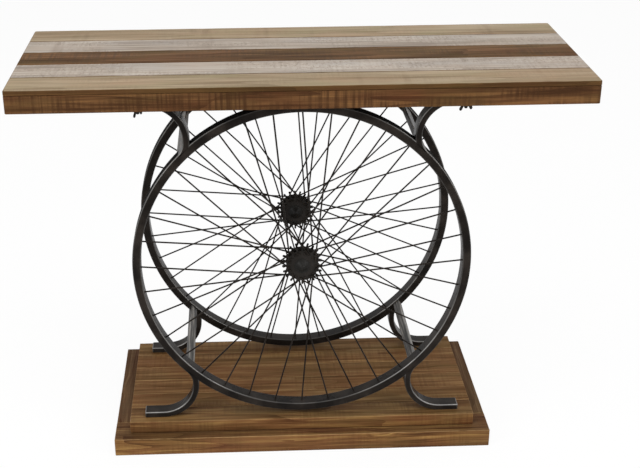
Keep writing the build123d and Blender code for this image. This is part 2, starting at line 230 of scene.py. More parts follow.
def sawn_wood(
    name,
    shades,
    stain,
    growth=12.0,
    closeness=1.0,
    contrast=1.0,
    saw=0.5,
    knots=0.0,
    roughness=0.62,
    wear_and_highlight=0.3,
    worn_and_lit=None,
    coat=None,
    flecks=0.0,
    seed=0.0,
):
    """Wood that was sawn, left rough and finished thin, so the grain shows in colour and relief.

    shades go from the darkest streak to the lightest, and stain holds the tones that the finish
    took in patches. growth and closeness set how close the growth rings and the streaks lie,
    contrast how far the streaks part in colour, saw how strongly the saw's marks show. The edges
    go over to the given pale colour, or the lightest shade, partly as real scuffing and partly as
    painted highlight. coat is the finish of a top face: its shades, its stain, and the height at
    which it ends. The grain runs along x of each board's own "grain" attribute.
    """
    material, tree, shader = new_material(name)
    grain = add_node(tree, "ShaderNodeAttribute", output="Vector", attribute_name="grain")

    def stretched(source, scale, detail=3.0, rough=0.55, offset=(0.0, 0.0, 0.0), output="Fac"):
        """Noise that is drawn out along the board, its scale in cycles per metre."""
        placed = add_node(
            tree, "ShaderNodeVectorMath", {0: source, 1: scale, 2: offset}, operation="MULTIPLY_ADD"
        )
        settings = {"Vector": placed, "Scale": 1.0, "Detail": detail, "Roughness": rough}
        return add_node(tree, "ShaderNodeTexNoise", settings, output=output)

    def patches(low, high, most, scale, *noise_settings):
        """Patches drawn out along the board: nought where noise is under low, most over high."""
        cloud = stretched(grain, scale, *noise_settings)
        settings = {"Value": cloud, "From Min": low, "From Max": high, "To Max": most}
        return add_node(tree, "ShaderNodeMapRange", settings)

    def weighted(total, *parts):
        """A number and more parts added up, each part times its share."""
        for part, share in parts:
            total = add_node(
                tree, "ShaderNodeMath", {0: part, 1: share, 2: total}, operation="MULTIPLY_ADD"
            )
        return total

    sway = stretched(grain, (2.5, 9.0, 9.0), 2.0, 0.5, (seed, seed, seed), "Color")
    bent = add_node(
        tree,
        "ShaderNodeVectorMath",
        {0: sway, 1: (0.0, GRAIN_WANDER, GRAIN_WANDER), 2: grain},
        operation="MULTIPLY_ADD",
    )

    # A knot is some 30 by 20 mm, and there is about one to every 220 by 130 mm. It pushes the
    # grain aside, and has a dark rim round a paler middle.
    spots = add_node(
        tree, "ShaderNodeVectorMath", {0: bent, 1: (4.6, 7.5, 7.5)}, operation="MULTIPLY"
    )
    knot = add_node(
        tree,
        "ShaderNodeTexVoronoi",
        {"Vector": spots, "Scale": 1.0, "Randomness": 1.0},
        output="Distance",
    )
    push, rim, heart = (
        add_node(
            tree,
            "ShaderNodeMapRange",
            {"Value": knot, "From Min": outer, "From Max": inner, "To Max": most * knots},
        )
        for outer, inner, most in ((0.2, 0.02, KNOT_PUSH), (0.09, 0.055, 1.0), (0.05, 0.03, 0.6))
    )
    aside = add_node(tree, "ShaderNodeCombineXYZ", {"Y": push})
    bent = add_node(tree, "ShaderNodeVectorMath", {0: bent, 1: aside}, operation="ADD")

    # Each growth ring darkens slowly and ends in a thin dark line. Between and across the rings
    # run streaks of 40 mm, 6 mm and 2 mm.
    swell = stretched(bent, (1.2, 15.0, 15.0), 2.0, 0.4, (2.0, 0.0, seed))
    rings = add_node(tree, "ShaderNodeMath", {0: swell, 1: growth}, operation="MULTIPLY")
    year = add_node(tree, "ShaderNodeMath", {0: rings}, operation="FRACT")
    latewood = add_node(tree, "ShaderNodeMath", {0: year, 1: 3.0}, operation="POWER")
    broad = stretched(bent, (1.7, 25.0 * closeness, 25.0 * closeness), 4.0, 0.6)
    middling = stretched(bent, (5.0, 160.0, 160.0), 2.0, 0.5)
    fine = stretched(bent, (14.0, 500.0, 500.0), 3.0, 0.6)
    tone = weighted(0.02, (broad, 0.42), (middling, 0.36), (fine, 0.22), (latewood, -0.09))

    # The saw left ridges across the board about 5 mm apart, in some places and not in others.
    kerfs = patches(0.42, 0.62, saw, (210.0, 6.0, 6.0), 1.0, 0.5)
    rough_places = patches(0.40, 0.60, 1.0, (7.0, 22.0, 22.0), 2.0)
    cuts = add_node(tree, "ShaderNodeMath", {0: kerfs, 1: rough_places}, operation="MULTIPLY")
    cut_shade = add_node(tree, "ShaderNodeMath", {0: cuts, 1: 0.6}, operation="MULTIPLY")

    def finished(finish_shades, finish_stain):
        """The colours of one finish: streaks of its shades, under its stain and the saw's marks.

        The stain lies in patches of some 200 by 60 mm.
        """
        stops = [(0.5 + place / contrast, code) for place, code in zip(SHADE_PLACES, finish_shades)]
        colours = add_node(tree, "ShaderNodeValToRGB", {"Fac": tone}, stops=stops)
        layers = []
        for number, tint in enumerate(finish_stain):
            offset = (5.1 + 4.2 * number, seed, 3.7 * number)
            layers.append((patches(0.46, 0.64, 0.5, (5.0, 16.0, 16.0), 4.0, 0.6, offset), tint))
        for share, tint in layers + [(cut_shade, finish_shades[0])]:
            colours = add_node(
                tree, "ShaderNodeMix", {0: share, 6: colours, 7: linear(tint)}, **COLOUR_MIX
            )
        return colours

    colours = finished(shades, stain)
    for share, shade in ((rim, shades[0]), (heart, shades[3])):
        colours = add_node(
            tree, "ShaderNodeMix", {0: share, 6: colours, 7: linear(shade)}, **COLOUR_MIX
        )

    # The finish of a top face ends in a wavering line. It missed flecks of some 4 by 8 mm.
    if coat:
        coat_shades, coat_stain, coat_end = coat
        place = add_node(tree, "ShaderNodeTexCoord", output="Object")
        height = add_node(tree, "ShaderNodeSeparateXYZ", {0: place}, output="Z")
        height = weighted(height, (stretched(grain, (22.0, 3.0, 3.0), 2.0), COAT_WANDER))
        covered = add_node(
            tree,
            "ShaderNodeMapRange",
            {"Value": height, "From Min": coat_end, "From Max": coat_end + COAT_FADE},
        )
        fleck = patches(0.52, 0.62, flecks, (230.0, 120.0, 120.0), 3.0, 0.7)
        fleck = add_node(tree, "ShaderNodeMath", {0: fleck, 1: rough_places}, operation="MULTIPLY")
        top = finished(coat_shades, coat_stain)
        top = add_node(
            tree, "ShaderNodeMix", {0: fleck, 6: top, 7: linear(coat_shades[0])}, **COLOUR_MIX
        )
        colours = add_node(tree, "ShaderNodeMix", {0: covered, 6: colours, 7: top}, **COLOUR_MIX)

    # The edges go pale in scuffs of some 40 by 25 mm: partly real scuffing, partly painted
    # highlight on the edges that face up and to the front.
    edge = add_node(tree, "ShaderNodeAttribute", output="Fac", attribute_name="edge")
    scuffs = patches(0.32, 0.52, wear_and_highlight, (25.0, 40.0, 40.0), 3.0, 0.6)
    rubbed_and_lit = add_node(tree, "ShaderNodeMath", {0: edge, 1: scuffs}, operation="MULTIPLY")
    colours = add_node(
        tree, "ShaderNodeMix", {0: rubbed_and_lit, 6: colours, 7: linear(worn_and_lit or shades[3])}, **COLOUR_MIX
    )
    tree.links.new(colours, shader.inputs["Base Color"])

    # Pale, open wood is the smoother.
    settings = {"Value": tone, "From Min": 0.42, "From Max": 0.58}
    settings.update({"To Min": roughness + 0.12, "To Max": roughness - 0.06})
    shine = add_node(tree, "ShaderNodeMapRange", settings)
    tree.links.new(shine, shader.inputs["Roughness"])
    shader.inputs["Specular IOR Level"].default_value = WOOD_GLOSS
    relief = weighted(0.0, (fine, 1.0), (broad, 1.0), (cuts, -0.9), (latewood, -0.3))
    bump = add_node(
        tree, "ShaderNodeBump", {"Height": relief, "Strength": 0.5, "Distance": WOOD_RELIEF}
    )
    tree.links.new(bump, shader.inputs["Normal"])
    return material


def ease(shape, radius, segments=3, angle=50):
    """Rounds every edge that is sharper than an angle."""
    inner = [e for e in shape.edges if len(e.link_faces) == 2]
    sharp = [e for e in inner if e.calc_face_angle() > math.radians(angle)]
    bmesh.ops.bevel(
        shape,
        geom=sharp,
        offset=radius,
        segments=segments,
        profile=0.5,
        affect="EDGES",
        material=-1,
    )


BOARD_STEP = 0.018
WAVES, RIPPLES = 26, 90
RISE_SHARE = 0.35


def sawn_board(node, along="x", edge=0.0008, sway=0.0004, corner=0.0, corners=()):
    """A board the size of its CAD node, with eased edges that aren't quite straight on top.

    corner rounds the upright edges at the given corners of the board, as signs of x and y. The
    board's own frame is kept in the "grain" attribute, moved along for each board.
    """
    low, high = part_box(node)
    size, middle = high - low, (low + high) / 2
    run = 0 if along == "x" else 1
    cross = 1 - run
    shape = bmesh.new()
    placed = Matrix.Translation(middle) @ Matrix.Diagonal((*size, 1.0))
    bmesh.ops.create_cube(shape, size=1.0, matrix=placed)
    uprights = []
    for e in shape.edges:
        centre = (e.verts[0].co + e.verts[1].co) / 2 - middle
        signs = (round(math.copysign(1, centre.x)), round(math.copysign(1, centre.y)))
        if abs(centre.z) < 1e-6 and signs in corners:
            uprights.append(e)
    if uprights:
        bmesh.ops.bevel(
            shape,
            geom=uprights,
            offset=corner,
            segments=4,
            profile=0.5,
            affect="EDGES",
            material=-1,
        )
    long_edges = [
        e for e in shape.edges if abs((e.verts[0].co - e.verts[1].co)[run]) > 0.5 * size[run]
    ]
    bmesh.ops.subdivide_edges(
        shape, edges=long_edges, cuts=int(size[run] / BOARD_STEP), use_grid_fill=True
    )
    ease(shape, edge, segments=2)

    seed = sum(map(ord, node))
    shift = Vector((seed * 0.37, seed * 0.113, seed * 0.071))
    layer = shape.verts.layers.float_vector.new("grain")
    for v in shape.verts:
        place = v.co - middle
        v[layer] = Vector((place[run], place[cross], place.z)) + shift
        for axis, share in ((cross, 1.0 if place.z > 0 else 0.0), (2, RISE_SHARE)):
            side = math.copysign(1, place[axis])
            wave = noise.noise(Vector((place[run] * WAVES, seed + side, axis * 3.0)))
            ripple = noise.noise(Vector((place[run] * RIPPLES, seed - side, axis * 3.0)))
            worn_away = 0.7 * (wave * 0.5 + 0.5) + 0.3 * (ripple * 0.5 + 0.5)
            v.co[axis] -= side * share * sway * worn_away
    return shape


# The pale colour of the edges, partly scuffed wood and partly painted highlight.
WORN_AND_LIT_WOOD = "#B08F63"
FINISH_DEPTH = 0.0003
RAIL_FACE_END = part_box("base_front_rail")[1].z - FINISH_DEPTH

# Golden, with many close dark streaks, so that a rail's face looks like thin strips. Its top is
# darker than its face, as painted shade, and its edges are pale, partly scuffed and partly painted
# highlight.
rail_wood = sawn_wood(
    "golden_stained_pine",
    ("#442815", "#664626", "#7A5631", "#9E7B47"),
    ("#68402B", "#66502E"),
    growth=14.0,
    closeness=2.4,
    contrast=0.75,
    saw=0.3,
    knots=0.9,
    wear_and_highlight=0.65,
    worn_and_lit=WORN_AND_LIT_WOOD,
    coat=(("#3A2211", "#533820", "#624529", "#80623A"), ("#573423", "#534026"), RAIL_FACE_END),
)
for node in ("base_front_rail", "base_rear_rail"):
    shape = sawn_board(node, edge=0.0016, sway=0.0008)
    keep(node + "_board", shape, rail_wood, node)

# A darker and redder brown than the front rail, with broad soft streaks.
side_wood = sawn_wood(
    "red_brown_stained_pine",
    ("#3C2413", "#50351F", "#5D432B", "#745839"),
    ("#4E2D1C", "#57452C"),
    growth=9.0,
    contrast=0.8,
    saw=0.3,
    knots=0.5,
    wear_and_highlight=0.6,
    worn_and_lit=WORN_AND_LIT_WOOD,
    seed=4.0,
)
for node in ("base_left_rail", "base_right_rail"):
    shape = sawn_board(node, "y", edge=0.0016, sway=0.0006)
    keep(node + "_board", shape, side_wood, node)


# ---- Platform
# Six pine planks laid along the base and glued edge to edge, stained brown and sanded smoother
# than the rails, with a few knots. The front plank's outer edge is rounder.
PLATFORM_FACE_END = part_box("platform_plank_1")[1].z - FINISH_DEPTH

# Warm brown faces with some knots and saw marks, over ends that drank the stain and went dark.
platform_wood = sawn_wood(
    "brown_stained_pine",
    ("#351D0E", "#4A2E19", "#583A23", "#795934"),
    ("#4C2917", "#4A3920"),
    growth=8.0,
    closeness=1.8,
    contrast=0.6,
    saw=0.6,
    knots=0.8,
    wear_and_highlight=0.9,
    worn_and_lit=WORN_AND_LIT_WOOD,
    coat=(("#4F351B", "#694A2B", "#785634", "#937144"), ("#6A4426", "#685330"), PLATFORM_FACE_END),
    seed=1.0,
)

# The same wood with a streaky front edge as light as the face, so the step shows as thin lines.
# Its top is a little darker than the other planks', as painted shade.
front_plank_wood = sawn_wood(
    "streaky_brown_stained_pine",
    ("#452814", "#603F23", "#724E2E", "#957142"),
    ("#633820", "#604B2A"),
    growth=8.0,
    closeness=1.8,
    contrast=0.75,
    saw=0.5,
    knots=0.8,
    wear_and_highlight=0.35,
    worn_and_lit=WORN_AND_LIT_WOOD,
    coat=(("#442D17", "#5B4125", "#694B2D", "#83653C"), ("#5D3C21", "#5B4A2A"), PLATFORM_FACE_END),
    seed=1.0,
)
for number in range(1, 7):
    node = f"platform_plank_{number}"
    edge, wood = (0.0022, front_plank_wood) if number == 1 else (0.0007, platform_wood)
    keep(node + "_board", sawn_board(node, edge=edge, sway=0.0002), wood, node)


# ---- Top
# Five thin planks over a frame of four boards. The planks' faces are limed, bare or dark, and
# their edges took the same brown stain as the frame, whose boards still show the saw's ridges.
TOP_FACE_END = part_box("top_plank_1")[1].z - FINISH_DEPTH
EDGE_SHADES = ("#362311", "#4A3219", "#563B1F", "#664A25")
EDGE_STAIN = ("#4E2E18", "#483718")

# A flat, pale tan with a faint grain and hardly any marks.
tan_wood = sawn_wood(
    "bare_planed_pine",
    EDGE_SHADES,
    EDGE_STAIN,
    growth=5.0,
    contrast=0.5,
    saw=0.25,
    wear_and_highlight=0.1,
    coat=(("#74634D", "#87765E", "#938269", "#A4937A"), ("#9A7F65", "#8A8261"), TOP_FACE_END),
    flecks=0.2,
)

# A chalky, dry grey white. The wood shows through it in flecks and along the saw's marks.
limed_wood = sawn_wood(
    "limed_pine",
    EDGE_SHADES,
    EDGE_STAIN,
    growth=5.0,
    contrast=0.7,
    saw=0.5,
    roughness=0.75,
    wear_and_highlight=0.1,
    coat=(("#867A6F", "#9A8F83", "#A59A8E", "#B2A89D"), ("#AC9C8E", "#9C9893"), TOP_FACE_END),
    flecks=0.8,
    seed=3.0,
)

# A deep brown with strong streaks and plain saw marks.
dark_wood = sawn_wood(
    "dark_stained_pine",
    EDGE_SHADES,
    EDGE_STAIN,
    growth=7.0,
    saw=0.8,
    wear_and_highlight=0.1,
    coat=(("#3A260F", "#4B3214", "#563817", "#66441E"), ("#573418", "#4F3E19"), TOP_FACE_END),
    flecks=0.3,
    seed=7.0,
)

# A mid brown, ribbed all along by the saw.
apron_wood = sawn_wood(
    "brown_stained_sawn_pine",
    ("#3B2411", "#50341C", "#5D3F24", "#72502E"),
    ("#58321D", "#503E20"),
    growth=8.0,
    closeness=1.25,
    contrast=0.85,
    saw=1.3,
    wear_and_highlight=0.3,
    seed=8.0,
)
PLANK_WOODS = (
    ("tan_wood", tan_wood),
    ("whitewashed_wood", limed_wood),
    ("dark_wood", dark_wood),
    ("whitewashed_wood", limed_wood),
    ("tan_wood", tan_wood),
)
TOP_CORNER = 0.004
PLANK_CORNERS = {1: ((-1, -1), (1, -1)), 5: ((-1, 1), (1, 1))}
for number, (slot, wood) in enumerate(PLANK_WOODS, 1):
    node = f"top_plank_{number}"
    corners = PLANK_CORNERS.get(number, ())
    shape = sawn_board(node, edge=0.0016, sway=0.0014, corner=TOP_CORNER, corners=corners)
    keep(node + "_board", shape, wood, node)
for face, sign in (("front", -1), ("rear", 1)):
    node = f"{face}_apron"
    corners = ((-1, sign), (1, sign))
    shape = sawn_board(node, edge=0.0008, sway=0.0006, corner=TOP_CORNER, corners=corners)
    keep(node + "_board", shape, apron_wood, node)
for node in ("left_apron", "right_apron"):
    keep(node + "_board", sawn_board(node, "y", sway=0.0006), apron_wood, node)


# ---- Cleats
# Three lengths of unfinished pine across the underside, which hold the planks together and
# carry the legs' studs. The base's middle batten, which nobody sees, is the same.

# Pale yellow and plain, since nothing covers it.
raw_wood = sawn_wood(
    "unfinished_pine",
    ("#8E6E45", "#A98A60", "#B99B70", "#CBB088"),
    ("#A67C50", "#A58F60"),
    knots=0.5,
    roughness=0.7,
)
for node in ("left_cleat", "middle_cleat", "right_cleat", "base_batten"):
    keep(node + "_board", sawn_board(node, "y", sway=0.0003), raw_wood, node)


# ---- Rims
# Flat steel bar rolled into a ring, with the mill's rounded edges, welded, ground and sprayed
# satin black. The outer face, left rough under the paint, is dull, and is painted nearly black as
# painted shade.
WHEEL_HEIGHT = 0.3765
WHEEL_DEPTH = {"front": -0.1235, "rear": 0.1235}
WHEEL_RADIUS = 0.3073
RIM_DEPTH = 0.0152
RIM_WIDTH = 0.0265
EDGE_RADIUS = 0.0022
RIM_STEPS = 192
# The outer face takes a painted shade colour; the pale steel along the edges is partly painted
# highlight.
TREAD_DEPTH = 0.0004
TREAD_PAINTED_SHADE = "#080706"
TREAD_DULLNESS = 0.6
BARE_STEEL_AND_HIGHLIGHT = "#B4B2AF"
DENT_SCALE, GRIT_SCALE = 60.0, 900.0
DENT_DEPTH = 0.0008
GRIT_SHARE = 0.06


def sprayed_steel(
    name, shades, roughness=0.28, dents=0.5, gloss=0.05, rubbed_and_lit=1.0, streaks=(26.0, 26.0, 26.0)
):
    """Mild steel sprayed thin with satin black.

    The paint is uneven, dents of some 17 mm and grit of 1 mm show in its shine, and along the
    edges pale steel shows through, partly as scuffed paint and partly as painted highlight on the
    edges that face up and to the front. streaks is how often the paint's unevenness repeats in a
    metre, along x, y and z. The "tread" attribute marks a face that is made dull and painted
    nearly black, as painted shade.
    """
    material, tree, shader = new_material(name)
    place = add_node(tree, "ShaderNodeTexCoord", output="Object")
    drawn = add_node(tree, "ShaderNodeVectorMath", {0: place, 1: streaks}, operation="MULTIPLY")
    cloud = add_node(tree, "ShaderNodeTexNoise", {"Vector": drawn, "Scale": 1.0, "Detail": 4.0})
    stops = list(zip((0.35, 0.5, 0.68), shades))
    paint = add_node(tree, "ShaderNodeValToRGB", {"Fac": cloud}, stops=stops)
    # The tread is painted shade: it goes nearly black.
    shaded_tread = add_node(tree, "ShaderNodeAttribute", output="Fac", attribute_name="shaded_tread")
    paint = add_node(
        tree, "ShaderNodeMix", {0: shaded_tread, 6: paint, 7: linear(TREAD_PAINTED_SHADE)}, **COLOUR_MIX
    )
    # Pale steel goes on the edges: partly scuffed paint, partly painted highlight.
    edge = add_node(tree, "ShaderNodeAttribute", output="Fac", attribute_name="edge")
    settings = {"Value": cloud, "From Min": 0.35, "From Max": 0.6}
    settings.update({"To Min": 0.6 * rubbed_and_lit, "To Max": rubbed_and_lit})
    patchy = add_node(tree, "ShaderNodeMapRange", settings)
    bare_and_lit = add_node(tree, "ShaderNodeMath", {0: edge, 1: patchy}, operation="MULTIPLY")
    colours = add_node(
        tree, "ShaderNodeMix", {0: bare_and_lit, 6: paint, 7: linear(BARE_STEEL_AND_HIGHLIGHT)}, **COLOUR_MIX
    )
    tree.links.new(colours, shader.inputs["Base Color"])
    tree.links.new(bare_and_lit, shader.inputs["Metallic"])
    settings = {"Value": cloud, "From Min": 0.3, "From Max": 0.7}
    settings.update({"To Min": roughness - 0.07, "To Max": roughness + 0.1})
    shine = add_node(tree, "ShaderNodeMapRange", settings)
    shine = add_node(
        tree, "ShaderNodeMath", {0: shaded_tread, 1: TREAD_DULLNESS, 2: shine}, operation="MULTIPLY_ADD"
    )
    tree.links.new(shine, shader.inputs["Roughness"])
    shader.inputs["Specular IOR Level"].default_value = gloss
    hollows, grit = (
        add_node(tree, "ShaderNodeTexNoise", {"Vector": place, "Scale": scale, "Detail": 2.0})
        for scale in (DENT_SCALE, GRIT_SCALE)
    )
    relief = add_node(
        tree, "ShaderNodeMath", {0: grit, 1: GRIT_SHARE, 2: hollows}, operation="MULTIPLY_ADD"
    )
    bump = add_node(
        tree, "ShaderNodeBump", {"Height": relief, "Strength": dents, "Distance": DENT_DEPTH}
    )
    tree.links.new(bump, shader.inputs["Normal"])
    return material


# Satin black, with broken, wavy reflections and thin bright lines along the edges, which are
# partly scuffed paint and partly painted highlight.
black_steel = sprayed_steel("sprayed_black_steel", ("#161311", "#1E1A17", "#2C2723"))
for wheel, depth in WHEEL_DEPTH.items():
    shape = bmesh.new()
    bmesh.ops.create_grid(shape, x_segments=1, y_segments=1, size=0.5)
    bmesh.ops.scale(shape, vec=(RIM_DEPTH, RIM_WIDTH, 1), verts=shape.verts[:])
    bmesh.ops.bevel(
        shape,
        geom=shape.verts[:],
        offset=EDGE_RADIUS,
        segments=3,
        profile=0.5,
        affect="VERTICES",
        material=-1,
    )
    bmesh.ops.delete(shape, geom=shape.faces[:], context="FACES_ONLY")
    bmesh.ops.translate(shape, vec=(WHEEL_RADIUS - RIM_DEPTH / 2, 0, 0), verts=shape.verts[:])
    bmesh.ops.spin(
        shape,
        geom=shape.verts[:] + shape.edges[:],
        cent=(0, 0, 0),
        axis=(0, 1, 0),
        angle=math.tau,
        steps=RIM_STEPS,
        use_merge=True,
    )
    bmesh.ops.recalc_face_normals(shape, faces=shape.faces[:])
    # The outer face is marked for painted shade, so that it is painted nearly black.
    shaded_tread = shape.verts.layers.float.new("shaded_tread")
    for v in shape.verts:
        v[shaded_tread] = float(math.hypot(v.co.x, v.co.z) > WHEEL_RADIUS - TREAD_DEPTH)
    bmesh.ops.translate(shape, vec=(0, depth, WHEEL_HEIGHT), verts=shape.verts[:])
    # face_on keeps the painted highlight on the rims mostly to the edges that face the side lamps.
    keep(f"{wheel}_rim_ring", shape, black_steel, f"{wheel}_rim", face_on=0.12)


# ---- Legs
# Flat bar as wide as the rims, bent cold through a right angle. The straight end is welded to
# the rim, and the weld is ground to a hollow on the outer side. The foot is cut square.
LEG_X = 0.20125
LEG_THICKNESS = 0.0115
BEND_RADIUS = 0.065
FOOT_END = 0.301
FOOT_RADIUS = 0.3155
WELD_RADIUS = 0.035
WELD_ROOT = 0.006


def arc(shape, start, centre, turn, steps):
    """Draws an arc from a vertex, anticlockwise seen from the front, and returns its far end."""
    made = bmesh.ops.spin(
        shape,
        geom=[start],
        cent=(centre[0], 0, centre[1]),
        axis=(0, -1, 0),
        angle=math.radians(turn),
        steps=steps,
    )
    return next(v for v in made["geom_last"] if isinstance(v, bmesh.types.BMVert))


def line(shape, start, *points):
    """Draws straight lines on from a vertex through points of x and z, and returns the last."""
    for x, z in points:
        far = shape.verts.new((x, 0, z))
        shape.edges.new((start, far))
        start = far
    return start


def thicken(shape, width):
    """Draws the faces of a flat shape on by a width along Y, so that it is solid."""
    made = bmesh.ops.extrude_face_region(shape, geom=shape.faces[:])["geom"]
    moved = [v for v in made if isinstance(v, bmesh.types.BMVert)]
    bmesh.ops.translate(shape, vec=(0, width, 0), verts=moved)
    bmesh.ops.recalc_face_normals(shape, faces=shape.faces[:])


def plate(shape, width):
    """Fills a closed outline, and gives it a width along Y about the middle."""
    bmesh.ops.contextual_create(shape, geom=shape.edges[:])
    bmesh.ops.translate(shape, vec=(0, -width / 2, 0), verts=shape.verts[:])
    thicken(shape, width)


LEG_INSIDE = LEG_X - LEG_THICKNESS / 2
LEG_OUTSIDE = LEG_X + LEG_THICKNESS / 2
BEND_X = LEG_X + BEND_RADIUS
BEND_Z = FOOT_RADIUS - LEG_THICKNESS / 2 - BEND_RADIUS
WELD_X = LEG_OUTSIDE + WELD_RADIUS
WELD_Z = math.sqrt((WHEEL_RADIUS + WELD_RADIUS) ** 2 - WELD_X**2)
WELD_TURN = math.degrees(math.atan2(WELD_Z, WELD_X))
RIM_CORNER = math.sqrt(WHEEL_RADIUS**2 - LEG_INSIDE**2)

for wheel, depth in WHEEL_DEPTH.items():
    for level, up in (("lower", -1), ("upper", 1)):
        for side, right in (("left", -1), ("right", 1)):
            shape = bmesh.new()
            first = shape.verts.new((LEG_OUTSIDE, 0, WELD_Z))
            root = arc(shape, first, (WELD_X, WELD_Z), WELD_TURN, 8)
            buried = root.co * (1 - WELD_ROOT / WHEEL_RADIUS)
            last = line(
                shape,
                root,
                (buried.x, buried.z),
                (LEG_INSIDE, RIM_CORNER - WELD_ROOT),
                (LEG_INSIDE, BEND_Z),
            )
            last = arc(shape, last, (BEND_X, BEND_Z), -90, 18)
            last = line(
                shape,
                last,
                (FOOT_END, FOOT_RADIUS),
                (FOOT_END, FOOT_RADIUS - LEG_THICKNESS),
                (BEND_X, FOOT_RADIUS - LEG_THICKNESS),
            )
            last = arc(shape, last, (BEND_X, BEND_Z), 90, 18)
            shape.edges.new((last, first))
            plate(shape, RIM_WIDTH)
            ease(shape, EDGE_RADIUS)
            bmesh.ops.scale(shape, vec=(right, 1, up), verts=shape.verts[:])
            bmesh.ops.recalc_face_normals(shape, faces=shape.faces[:])
            bmesh.ops.translate(shape, vec=(0, depth, WHEEL_HEIGHT), verts=shape.verts[:])
            node = f"{level}_{wheel}_{side}_leg"
            keep(node + "_bar", shape, black_steel, node, face_on=0.6)


# ---- Crossbars
# Four bars from rim to rim, butt-welded to the rims' inner faces. Their paint is thinner, and the
# mill scale shows through it as a paler grey.
CROSSBAR_SIZE = (0.009, 0.223, 0.015)
CROSSBAR_EDGE = 0.0012
CROSSBAR_ANGLE = 45

# Grey to black in long streaks, as the rolls drew the scale along the bar.
grey_steel = sprayed_steel(
    "thinly_sprayed_steel",
    ("#211F1D", "#484542", "#95918B"),
    roughness=0.35,
    gloss=0.1,
    rubbed_and_lit=0.7,
    streaks=(220.0, 9.0, 220.0),
)
for level, up in (("lower", -1), ("upper", 1)):
    for side, angle in (("left", 180 - CROSSBAR_ANGLE), ("right", CROSSBAR_ANGLE)):
        shape = bmesh.new()
        bmesh.ops.create_cube(shape, size=1.0, matrix=Matrix.Diagonal((*CROSSBAR_SIZE, 1.0)))
        ease(shape, CROSSBAR_EDGE)
        bmesh.ops.translate(shape, vec=(WHEEL_RADIUS - RIM_DEPTH / 2, 0, 0), verts=shape.verts[:])
        turn = Matrix.Rotation(-math.radians(up * angle), 4, "Y")
        placed = Matrix.Translation((0, 0, WHEEL_HEIGHT)) @ turn
        bmesh.ops.transform(shape, matrix=placed, verts=shape.verts[:])
        node = f"{level}_{side}_crossbar"
        keep(node + "_bar", shape, grey_steel, node)


# ---- Hubs
# Each hub is a turned barrel between two discs cut from sheet with finger-like teeth, all on a
# stub axle, with a bell-shaped cap pressed over each end. All of it is black.
SPROCKET_RADIUS = 0.029
SPROCKET_THICKNESS = 0.0024
SPROCKET_SPACING = 0.020
SPROCKET_EDGE = 0.0004
TOOTH_COUNT = 20
TOOTH_HEIGHT = 0.0080
TOOTH_WIDTH = 0.0038
BARREL_RADIUS = 0.013
BARREL_STEP = 0.0015
AXLE_RADIUS = 0.005
AXLE_SHORTFALL = 0.003
CAP_RADIUS = 0.0145
CAP_HEIGHT = 0.009
CAP_LIP = 0.0004
CAP_STEPS = 10
STACK_END = (SPROCKET_SPACING + SPROCKET_THICKNESS) / 2
ON_AXLE = Matrix.Rotation(math.radians(90), 4, "X")


def lathe(shape, outline, steps=40):
    """Turns an outline, given as radius and height, about the Z axis."""
    chain = [shape.verts.new((radius, 0, height)) for radius, height in outline]
    edges = [shape.edges.new(pair) for pair in zip(chain, chain[1:])]
    bmesh.ops.spin(
        shape,
        geom=chain + edges,
        cent=(0, 0, 0),
        axis=(0, 0, 1),
        angle=math.tau,
        steps=steps,
        use_merge=True,
    )
    bmesh.ops.remove_doubles(shape, verts=shape.verts[:], dist=1e-7)
    bmesh.ops.recalc_face_normals(shape, faces=shape.faces[:])


def add_copy(shape, pattern, matrix):
    """Adds a copy of a mesh at a place."""
    copy = pattern.copy()
    copy.transform(matrix)
    mesh = bpy.data.meshes.new("copy")
    copy.to_mesh(mesh)
    copy.free()
    shape.from_mesh(mesh)
    bpy.data.meshes.remove(mesh)


# A soft brown black without bright edges, since oil and not paint covers it.
hub_steel = sprayed_steel(
    "black_oiled_steel",
    ("#1B1815", "#211E1B", "#2B2724"),
    roughness=0.45,
    dents=0.3,
    gloss=0.1,
    rubbed_and_lit=0.0,
)

# A neutral black close to that of the discs, so that the caps hardly part from them.
cap_steel = sprayed_steel(
    "black_cap_steel",
    ("#161514", "#1C1B19", "#242220"),
    roughness=0.4,
    dents=0.2,
    gloss=0.1,
    rubbed_and_lit=0.0,
)

# One tooth and its slice of the disc is drawn, then turned round the axle.
HALF_PITCH = math.pi / TOOTH_COUNT
TIP_CENTRE = SPROCKET_RADIUS + TOOTH_HEIGHT - TOOTH_WIDTH / 2
bore = (AXLE_RADIUS * math.cos(HALF_PITCH), AXLE_RADIUS * math.sin(HALF_PITCH))
flank = [
    (SPROCKET_RADIUS * math.cos(HALF_PITCH), SPROCKET_RADIUS * math.sin(HALF_PITCH)),
    (SPROCKET_RADIUS + 0.0004, TOOTH_WIDTH / 2 + 0.0002),
    (SPROCKET_RADIUS + 0.0012, 0.42 * TOOTH_WIDTH),
]
lower_flank = [(x, -z) for x, z in flank]
sprocket = bmesh.new()
first = sprocket.verts.new((bore[0], 0, -bore[1]))
last = line(sprocket, first, *lower_flank, (TIP_CENTRE, -TOOTH_WIDTH / 2))
last = arc(sprocket, last, (TIP_CENTRE, 0), 180, 6)
last = line(sprocket, last, *reversed(flank), bore)
sprocket.edges.new((last, first))
bmesh.ops.contextual_create(sprocket, geom=sprocket.edges[:])
bmesh.ops.spin(
    sprocket,
    geom=sprocket.faces[:] + sprocket.edges[:] + sprocket.verts[:],
    cent=(0, 0, 0),
    axis=(0, 1, 0),
    angle=math.tau * (TOOTH_COUNT - 1) / TOOTH_COUNT,
    steps=TOOTH_COUNT - 1,
    use_duplicate=True,
)
bmesh.ops.remove_doubles(sprocket, verts=sprocket.verts[:], dist=1e-6)
bmesh.ops.translate(sprocket, vec=(0, -SPROCKET_THICKNESS / 2, 0), verts=sprocket.verts[:])
thicken(sprocket, SPROCKET_THICKNESS)
ease(sprocket, SPROCKET_EDGE, 2, 60)

